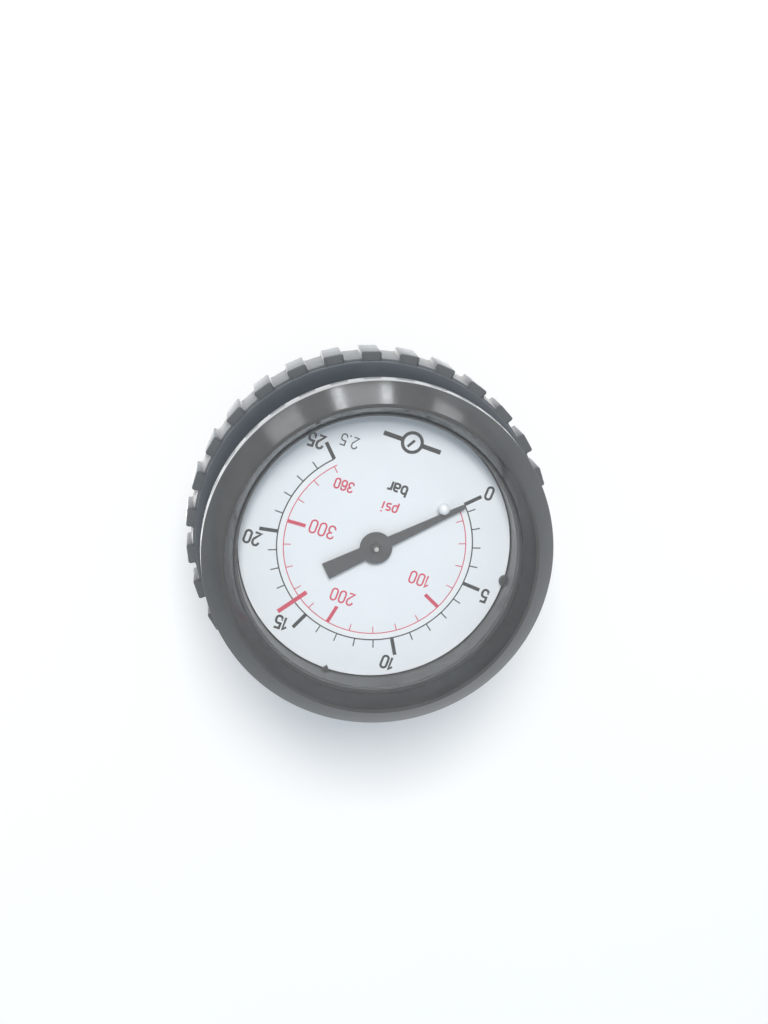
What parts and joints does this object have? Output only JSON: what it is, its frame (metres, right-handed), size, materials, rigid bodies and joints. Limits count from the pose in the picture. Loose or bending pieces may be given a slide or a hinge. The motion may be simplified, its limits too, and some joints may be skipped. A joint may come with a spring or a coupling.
{
  "type": "pressure gauge",
  "caption": "Panel-mounting Bourdon tube pressure gauge with a back connection, a snap bezel and a toothed ring nut behind it.",
  "frame": {"origin": "centre of the connection's sealing face, where the thread meets the square", "axes": "+Z along the axis, out of the dial; +Y towards 12 o'clock on the dial; +X to the right of the dial"},
  "size_m": [0.0574, 0.0574, 0.0503],
  "materials": {
    "black_plastic": "semi-gloss moulded ABS",
    "nut_plastic": "satin moulded ABS",
    "washer_plastic": "satin",
    "window": "clear polished",
    "dial_white": "matt white, printed",
    "pointer_black": "matt black",
    "print_red": "matt print",
    "stop_white": "gloss white",
    "brass": "turned",
    "tube_bronze": "drawn",
    "spring_bronze": "bright",
    "steel": "zinc plated",
    "seal_rubber": "matt"
  },
  "bodies": {
    "case_body": {"case": "black_plastic", "bezel": "black_plastic", "window": "window", "window_gasket": "seal_rubber", "dial": "dial_white", "stop_pin": "stop_white", "socket": "brass", "socket_seal": "seal_rubber", "restrictor_screw": "brass", "case_screws": "steel", "bourdon_tube": "tube_bronze", "back_plate": "brass", "front_plate": "brass", "plate_pillars": "brass", "plate_screws": "steel", "movement_screws": "steel", "hairspring": "spring_bronze", "hairspring_stud": "brass"},
    "pointer_train": {"pointer": "pointer_black", "pointer_hub": "pointer_black", "pinion": "brass", "hairspring_collet": "brass"},
    "sector": {"sector_gear": "brass", "sector_arbor": "steel", "tail_pin": "steel"},
    "tip": {"tube_tip": "brass", "tip_pin": "steel"},
    "tip_link": {"link": "brass"},
    "washer": {"clamp_washer": "washer_plastic"},
    "nut": {"ring_nut": "nut_plastic"}
  },
  "joints": [
    {"name": "pointer_turn", "type": "hinge", "parent": "case_body", "child": "pointer_train", "pos_m": [0, 0, 0.0278], "axis": [0, 0, -1], "range_deg": [0, 270.01], "deforming": ["hairspring"]},
    {"name": "sector_turn", "type": "hinge", "parent": "case_body", "child": "sector", "pos_m": [0.00831, -0.0048, 0.022], "axis": [0, 0, 1], "range_deg": [0, 38.6]},
    {"name": "tip_bend", "type": "hinge", "parent": "case_body", "child": "tip", "pos_m": [-0.00477, 0.00334, 0.0159], "axis": [0, 0, 1], "range_deg": [0, 8.06], "stiffness_Nm_per_rad": 0.001, "deforming": ["bourdon_tube"]},
    {"name": "link_swing", "type": "hinge", "parent": "tip", "child": "tip_link", "pos_m": [0.0126, 0.0055, 0.023], "axis": [0, 0, 1], "range_deg": [-5, 0]},
    {"name": "washer_slide", "type": "slide", "parent": "case_body", "child": "washer", "axis": [0, 0, 1], "range_m": [-0.00501, 0.00901]},
    {"name": "nut_turn", "type": "hinge", "parent": "washer", "child": "nut", "pos_m": [0, 0, 0.0203], "axis": [0, 0, 1], "range_deg": [-900, 1620]}
  ],
  "couplings": [
    {"joint": "sector_turn", "follows": "tip_bend", "ratio": 4.7873},
    {"joint": "pointer_turn", "follows": "tip_bend", "ratio": 33.511},
    {"joint": "link_swing", "follows": "tip_bend", "ratio": -0.61537},
    {"joint": "washer_slide", "follows": "nut_turn", "m_per_rad": 0.00031831}
  ]
}
